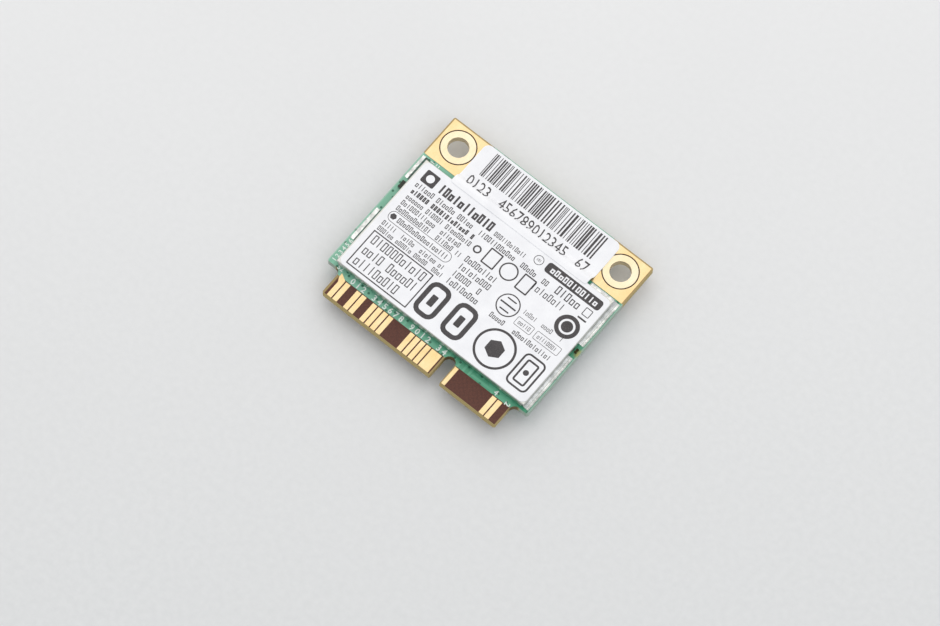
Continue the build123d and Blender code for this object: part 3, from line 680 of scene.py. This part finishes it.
def main_label_print():
    """Rows, frames, rings and blocks in place of what such a label says."""
    bed = main_label_top_mm
    mesh = bmesh.new()
    # Head of the label: a dark tile, a bold row, a short row, a ring and a dark lozenge, then a
    # row, a small frame and a bar below the lozenge
    prism(mesh, box(-12.72, along(17.62), -10.85, along(19.35), 0.2), bed)
    row(mesh, -10.3, along(17.78), -2.0, 1.25, 3, bed, pitch=0.58, stroke=0.20, body=0.84, group=40)
    row(mesh, -1.85, along(17.76), 3.6, 0.60, 4, bed)
    ring(mesh, 4.22, along(18.72), 0.62, 0.08, bed)
    row(mesh, 3.9, along(18.55), 4.6, 0.34, 8, bed, group=40)
    prism(mesh, box(5.35, along(18.06), 13.4, along(19.44), 0.40, 9), bed)
    row(mesh, 7.95, along(16.7), 11.8, 1.1, 5, bed, stroke=0.12, group=40)
    frame_band(mesh, 12.1, along(16.65), 13.1, along(17.75), 0.10, 0.12, bed)
    prism(mesh, box(12.0, along(16.08), 13.2, along(16.30)), bed)
    # Left column: rows, a rounded frame, rows and a thick frame with three larger rows
    row(mesh, -12.75, along(16.67), 7.1, 0.70, 6, bed)
    row(mesh, -12.6, along(15.72), -3.2, 0.66, 10, bed, stroke=0.22)
    for index, y in enumerate((14.81, 13.91, 13.01)):
        row(mesh, -12.6, along(y), (-2.9, -3.7, -2.9)[index], 0.65, 11 + index, bed)
    frame_band(mesh, -12.75, along(11.44), -3.65, along(12.88), 0.07, 0.66, bed)
    row(mesh, -11.5, along(11.82), -4.0, 0.68, 17, bed, group=40)
    prism(mesh, circle(-12.12, along(12.16), 0.42, 6), bed)
    row(mesh, -12.7, along(10.57), -3.2, 0.62, 18, bed)
    row(mesh, -12.7, along(9.72), -3.0, 0.60, 19, bed)
    frame_band(mesh, -12.75, along(4.25), -3.9, along(9.5), 0.15, 0.06, bed)
    for index, y in enumerate((7.92, 6.3, 4.68)):
        right, group = ((-4.4, 9), (-4.4, 5), (-5.6, 12))[index]
        row(
            mesh, -12.25, along(y), right, 1.22, 21 + index, bed,
            pitch=0.58, stroke=0.10, group=group,
        )
    # Middle column: a small ring, a ring between two frames, a block of short rows, two bold
    # frames with a dark tile in each
    ring(mesh, -2.1, along(15.2), 0.52, 0.20, bed, 24)
    frame_band(mesh, -0.95, along(14.25), 0.85, along(16.5), 0.18, 0.12, bed)
    ring(mesh, 2.45, along(15.37), 1.15, 0.18, bed, 36)
    frame_band(mesh, 4.05, along(14.25), 5.8, along(16.5), 0.18, 0.12, bed)
    for index, y in enumerate((13.12, 11.98, 10.84, 9.72)):
        right, group = ((3.2, 11), (2.3, 20), (1.6, 7), (2.3, 20))[index]
        row(mesh, -2.5, along(y), right, 0.80, 31 + index, bed, stroke=0.13, group=group)
    for left in (-3.55, 0.45):
        frame_band(mesh, left, along(4.6), left + 3.0, along(9.3), 0.60, 1.1, bed)
        prism(mesh, box(left + 1.1, along(6.2), left + 1.9, along(7.7), 0.12), bed)
    # Right column: a row, a dark disc, a ring with three bars, a row, two framed rows, a row, a
    # hexagon in a ring, and a dot in two frames
    row(mesh, 5.5, along(15.4), 10.6, 0.92, 41, bed, stroke=0.11, group=40)
    prism(mesh, circle(11.87, along(14.38), 1.5, 48), bed)
    ring(mesh, 5.0, along(12.1), 1.46, 0.15, bed)
    prism(mesh, box(3.9, along(12.0), 6.1, along(12.2)), bed)
    prism(mesh, box(4.35, along(11.25), 5.65, along(11.42)), bed)
    prism(mesh, box(4.35, along(12.78), 5.65, along(12.95)), bed)
    row(mesh, 6.8, along(12.42), 12.9, 0.60, 43, bed, stroke=0.11)
    frame_band(mesh, 6.8, along(10.75), 9.2, along(11.9), 0.06, 0.18, bed)
    frame_band(mesh, 9.6, along(10.75), 13.2, along(11.9), 0.06, 0.18, bed)
    row(mesh, 7.15, along(11.05), 8.95, 0.54, 44, bed, stroke=0.12, group=40)
    row(mesh, 9.95, along(11.05), 12.9, 0.54, 45, bed, stroke=0.12, group=40)
    row(mesh, 4.0, along(9.68), 13.2, 0.66, 46, bed, group=8)
    ring(mesh, 7.2, along(6.95), 2.55, 0.30, bed, 64)
    prism(mesh, circle(7.2, along(6.95), 1.2, 6, math.pi / 6), bed)
    frame_band(mesh, 10.3, along(4.7), 13.3, along(9.2), 0.24, 0.7, bed)
    frame_band(mesh, 10.95, along(5.35), 12.65, along(8.55), 0.24, 0.3, bed)
    prism(mesh, circle(11.8, along(6.95), 0.36, 24), bed)
    return piece("main_label_print", mesh, ink)


def reversed_print():
    """Pale marks on the dark tile, lozenge and disc, where the film shows through."""
    mesh = bmesh.new()
    bed = main_label_top_mm + ink_mm + ink_lift_mm
    prism(mesh, circle(-11.78, along(18.5), 0.52, 28), bed)
    row(mesh, 6.0, along(18.36), 12.9, 0.80, 51, bed, pitch=0.78, stroke=0.20, body=0.78, group=40)
    ring(mesh, 11.87, along(14.38), 0.98, 0.26, bed)
    return piece("main_label_reversed_print", mesh, film)


def serial_label_print():
    """Bars by a formula of their own, and plain numbers below them."""
    mesh = bmesh.new()
    draw = random.Random(7)
    module = 0.098
    first_x, last_x, right_end = -8.1, 8.5, 8.7
    x = first_x
    while x < last_x:
        width = module * draw.choice((1, 1, 1, 2, 2, 3))
        outline = box(x, along(22.95), min(x + width, right_end), along(26.35))
        prism(mesh, outline, serial_label_height)
        x += width + module * draw.choice((1, 1, 2, 2, 3))
    # The numbers lean back, so that they stand upright to the camera where the label drops
    numbers(
        mesh, "0123   456789012345   67", 0.22, along(20.92), 1.66, serial_label_height,
        squeeze=0.73, lean=-0.19,
    )
    return piece("serial_label_print", mesh, ink)


def board_numbers():
    """Numbers along the contacts and up the left side, screened on the board."""
    mesh = bmesh.new()
    bed = board_top_mm
    first_x, pitch = -10.85, 0.80
    for index, digit in enumerate("012 345678 9012 34"):
        if digit != " ":
            numbers(mesh, digit, first_x + pitch * index, along(2.96), 0.76, bed, weight=0.03)
    numbers(mesh, "52", -13.0, along(3.42), 0.58, bed, weight=0.03)
    numbers(mesh, "4", 10.45, along(2.98), 0.66, bed, weight=0.03)
    numbers(mesh, "2", 12.0, along(2.98), 0.70, bed, turn=-90, weight=0.03)
    numbers(mesh, "1 2 3 4 5 6", -14.04, along(5.55), 0.55, bed, turn=90, weight=0.04)
    # Three short dashes at the left tab: left end, distance from the contacts, width and length
    dashes = ((-13.5, 20.62, 0.55, 0.12), (-12.7, 20.55, 0.12, 0.32), (-12.35, 20.55, 0.12, 0.32))
    for x, y, wide, long in dashes:
        prism(mesh, box(x, along(y), x + wide, along(y + long)), bed)
    return piece("screened_numbers", mesh, screened)


main_label_print()
reversed_print()
serial_label_print()
board_numbers()


# Floor: a pale table top, matt with a fine grain, with painted light falloff making it paler
# towards the far left
def pale_table_top():
    made, tree, shader, place = finish("pale_table_top", IOR=1.45, Roughness=0.85)
    cloud = grain(tree, place, 0.02)
    fine = grain(tree, place, 1.2, 4.0)
    far_left = (-0.64, 0.77, 0.0)
    # Painted light falloff across the table top
    painted_light_falloff = add(tree, "ShaderNodeVectorMath", {0: place, 1: far_left}, operation="DOT_PRODUCT")
    painted_light_falloff = ramp(tree, painted_light_falloff.outputs["Value"], -40.0, 40.0)
    tone = mixed(tree, painted_light_falloff, linear("#d9dada"), linear("#e8e8e8"))
    tone = mixed(tree, ramp(tree, fine, 0.3, 0.75, 0.0, 0.25), tone, linear("#f0f0f0"))
    tone = mixed(tree, ramp(tree, cloud, 0.3, 0.7, 0.0, 0.3), tone, linear("#dddddd"))
    tree.links.new(tone, shader.inputs["Base Color"])
    bump(tree, shader, fine, 0.02)
    return made


# The floor lies a hair below the lid that rests on it, so that the two don't share a plane
floor_half = 1.2
floor_drop_mm = 0.01
floor_corners = box(-floor_half, -floor_half, floor_half, floor_half)
floor_mesh = bpy.data.meshes.new("table_top")
floor_mesh.from_pydata([(x, y, 0) for x, y in floor_corners], [], [(0, 1, 2, 3)])
floor_mesh.materials.append(pale_table_top())
floor = bpy.data.objects.new("table_top", floor_mesh)
bpy.context.scene.collection.objects.link(floor)
floor.location.z = -floor_drop_mm * MM


def soft_lamp(name, place, aim, size, watts, colour):
    """Square soft light that faces the place it lights."""
    light = bpy.data.lights.new(name, "AREA")
    light.shape = "SQUARE"
    light.size = size
    light.energy = watts
    light.color = linear(colour)[:3]
    made = bpy.data.objects.new(name, light)
    made.location = place
    direction = Vector(aim) - Vector(place)
    made.rotation_euler = direction.to_track_quat("-Z", "Y").to_euler()
    bpy.context.scene.collection.objects.link(made)


card_place = (0, 0, 0)
soft_lamp("key_light", (-0.35, 0.55, 0.75), card_place, 1.35, 5.25, "#fffaf4")
soft_lamp("fill_light", (0.6, -0.1, 0.8), card_place, 0.8, 1.4, "#f6f9ff")

world = bpy.data.worlds.new("pale_room")
bpy.context.scene.world = world
world.use_nodes = True
background = world.node_tree.nodes["Background"].inputs
background["Color"].default_value = linear("#eceef0")
background["Strength"].default_value = 0.81

# Camera fitted to the photograph by the card's outline, its holes and its contacts
camera_data = bpy.data.cameras.new("camera")
camera_data.lens = 229.8
camera_data.sensor_width = 36.0
camera_data.clip_start = 0.01
camera = bpy.data.objects.new("camera", camera_data)
right = Vector((0.77491, 0.63141, 0.02891))
up = Vector((-0.59762, 0.71701, 0.35882))
back = Vector((0.20583, -0.29533, 0.93296))
camera_place = (0.144187, -0.208523, 0.647262)
turned = Matrix((right, up, back)).transposed().to_4x4()
camera.matrix_world = Matrix.Translation(camera_place) @ turned
bpy.context.scene.collection.objects.link(camera)
bpy.context.scene.camera = camera
bpy.context.scene.view_settings.view_transform = "Standard"

bpy.context.view_layer.update()
